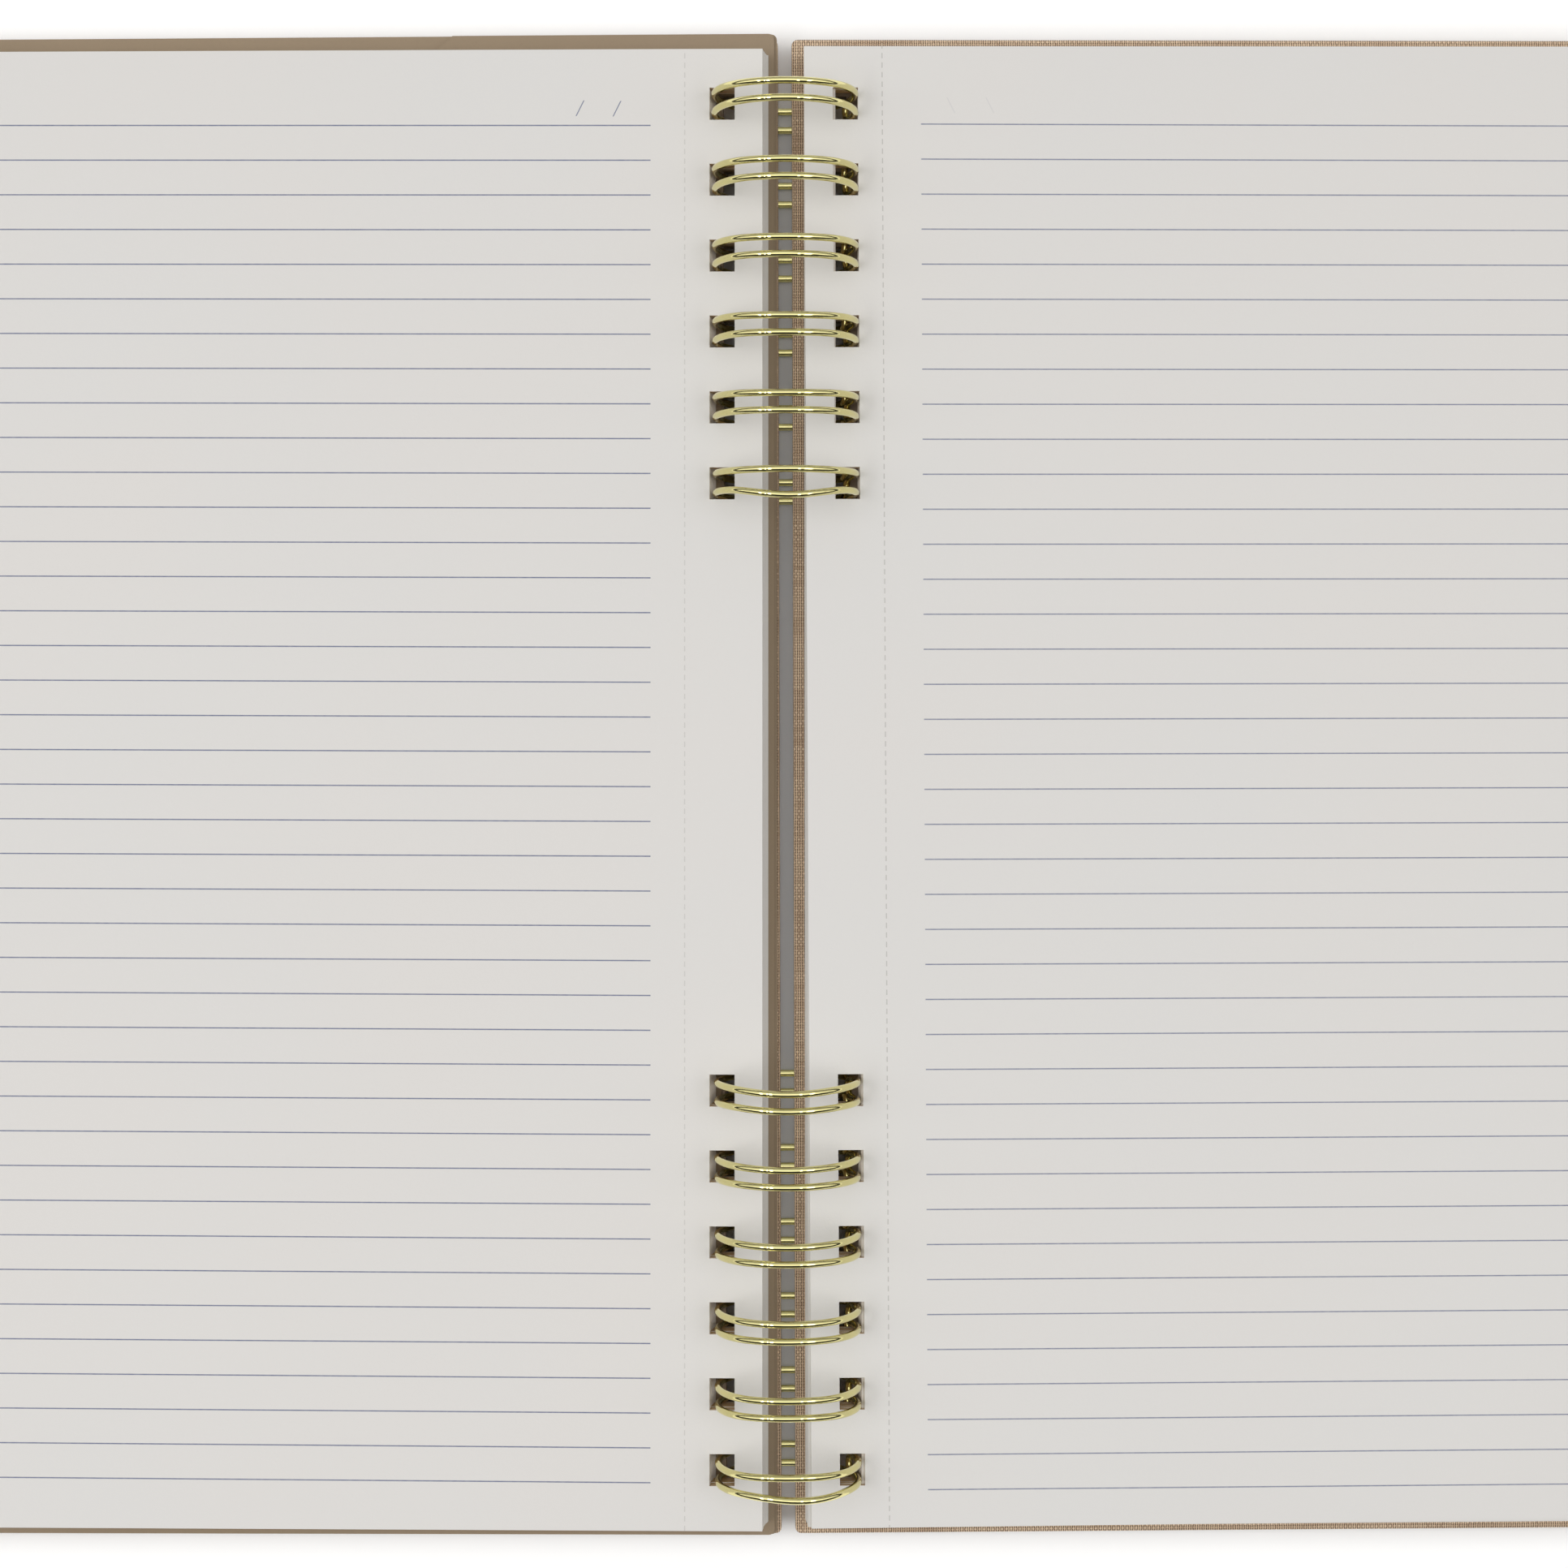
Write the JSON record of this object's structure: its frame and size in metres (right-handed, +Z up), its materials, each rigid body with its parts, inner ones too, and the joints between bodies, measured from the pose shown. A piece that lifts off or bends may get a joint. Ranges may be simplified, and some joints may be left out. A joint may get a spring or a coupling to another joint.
{
  "type": "open spiral notebook",
  "caption": "Hardcover notebook bound with twin-loop wire, lying open flat, with ruled sheets, a pocket folder and covers that close.",
  "frame": {"origin": "on the table, below the middle of the object's own box", "axes": "+X across the open spread towards the back cover, +Y along the spine towards the head, +Z up"},
  "size_m": [0.383, 0.2542, 0.0246],
  "materials": {
    "board": "raw grey board",
    "cover_cloth": "plain-woven book cloth, matte",
    "lining_paper": "smooth matte",
    "ring_wire": "pale gold, bright",
    "folder_card": "smooth matte card",
    "sheet_paper": "uncoated, ruled"
  },
  "bodies": {
    "back_cover": {"back_cover_board": "board", "back_cover_cloth": "cover_cloth", "back_cover_lining": "lining_paper", "wire_comb_top": "ring_wire", "wire_comb_bottom": "ring_wire"},
    "front_cover": {"front_cover_board": "board", "front_cover_cloth": "cover_cloth", "front_cover_lining": "lining_paper"},
    "pocket_folder": {"pocket_folder": "folder_card"},
    "left_pages": {"left_pages": "sheet_paper"},
    "right_pages": {"right_pages": "sheet_paper"}
  },
  "joints": [
    {"name": "front_cover_turn", "type": "hinge", "parent": "back_cover", "child": "front_cover", "pos_m": [0, 0, 0.0123], "axis": [0, 1, 0], "range_deg": [0, 180]},
    {"name": "pocket_folder_turn", "type": "hinge", "parent": "front_cover", "child": "pocket_folder", "pos_m": [0, 0, 0.0123], "axis": [0, 1, 0], "range_deg": [0, 180]},
    {"name": "left_pages_turn", "type": "hinge", "parent": "pocket_folder", "child": "left_pages", "pos_m": [0, 0, 0.0123], "axis": [0, 1, 0], "range_deg": [0, 180]},
    {"name": "right_pages_turn", "type": "hinge", "parent": "back_cover", "child": "right_pages", "pos_m": [0, 0, 0.0123], "axis": [0, -1, 0], "range_deg": [0, 180]}
  ]
}
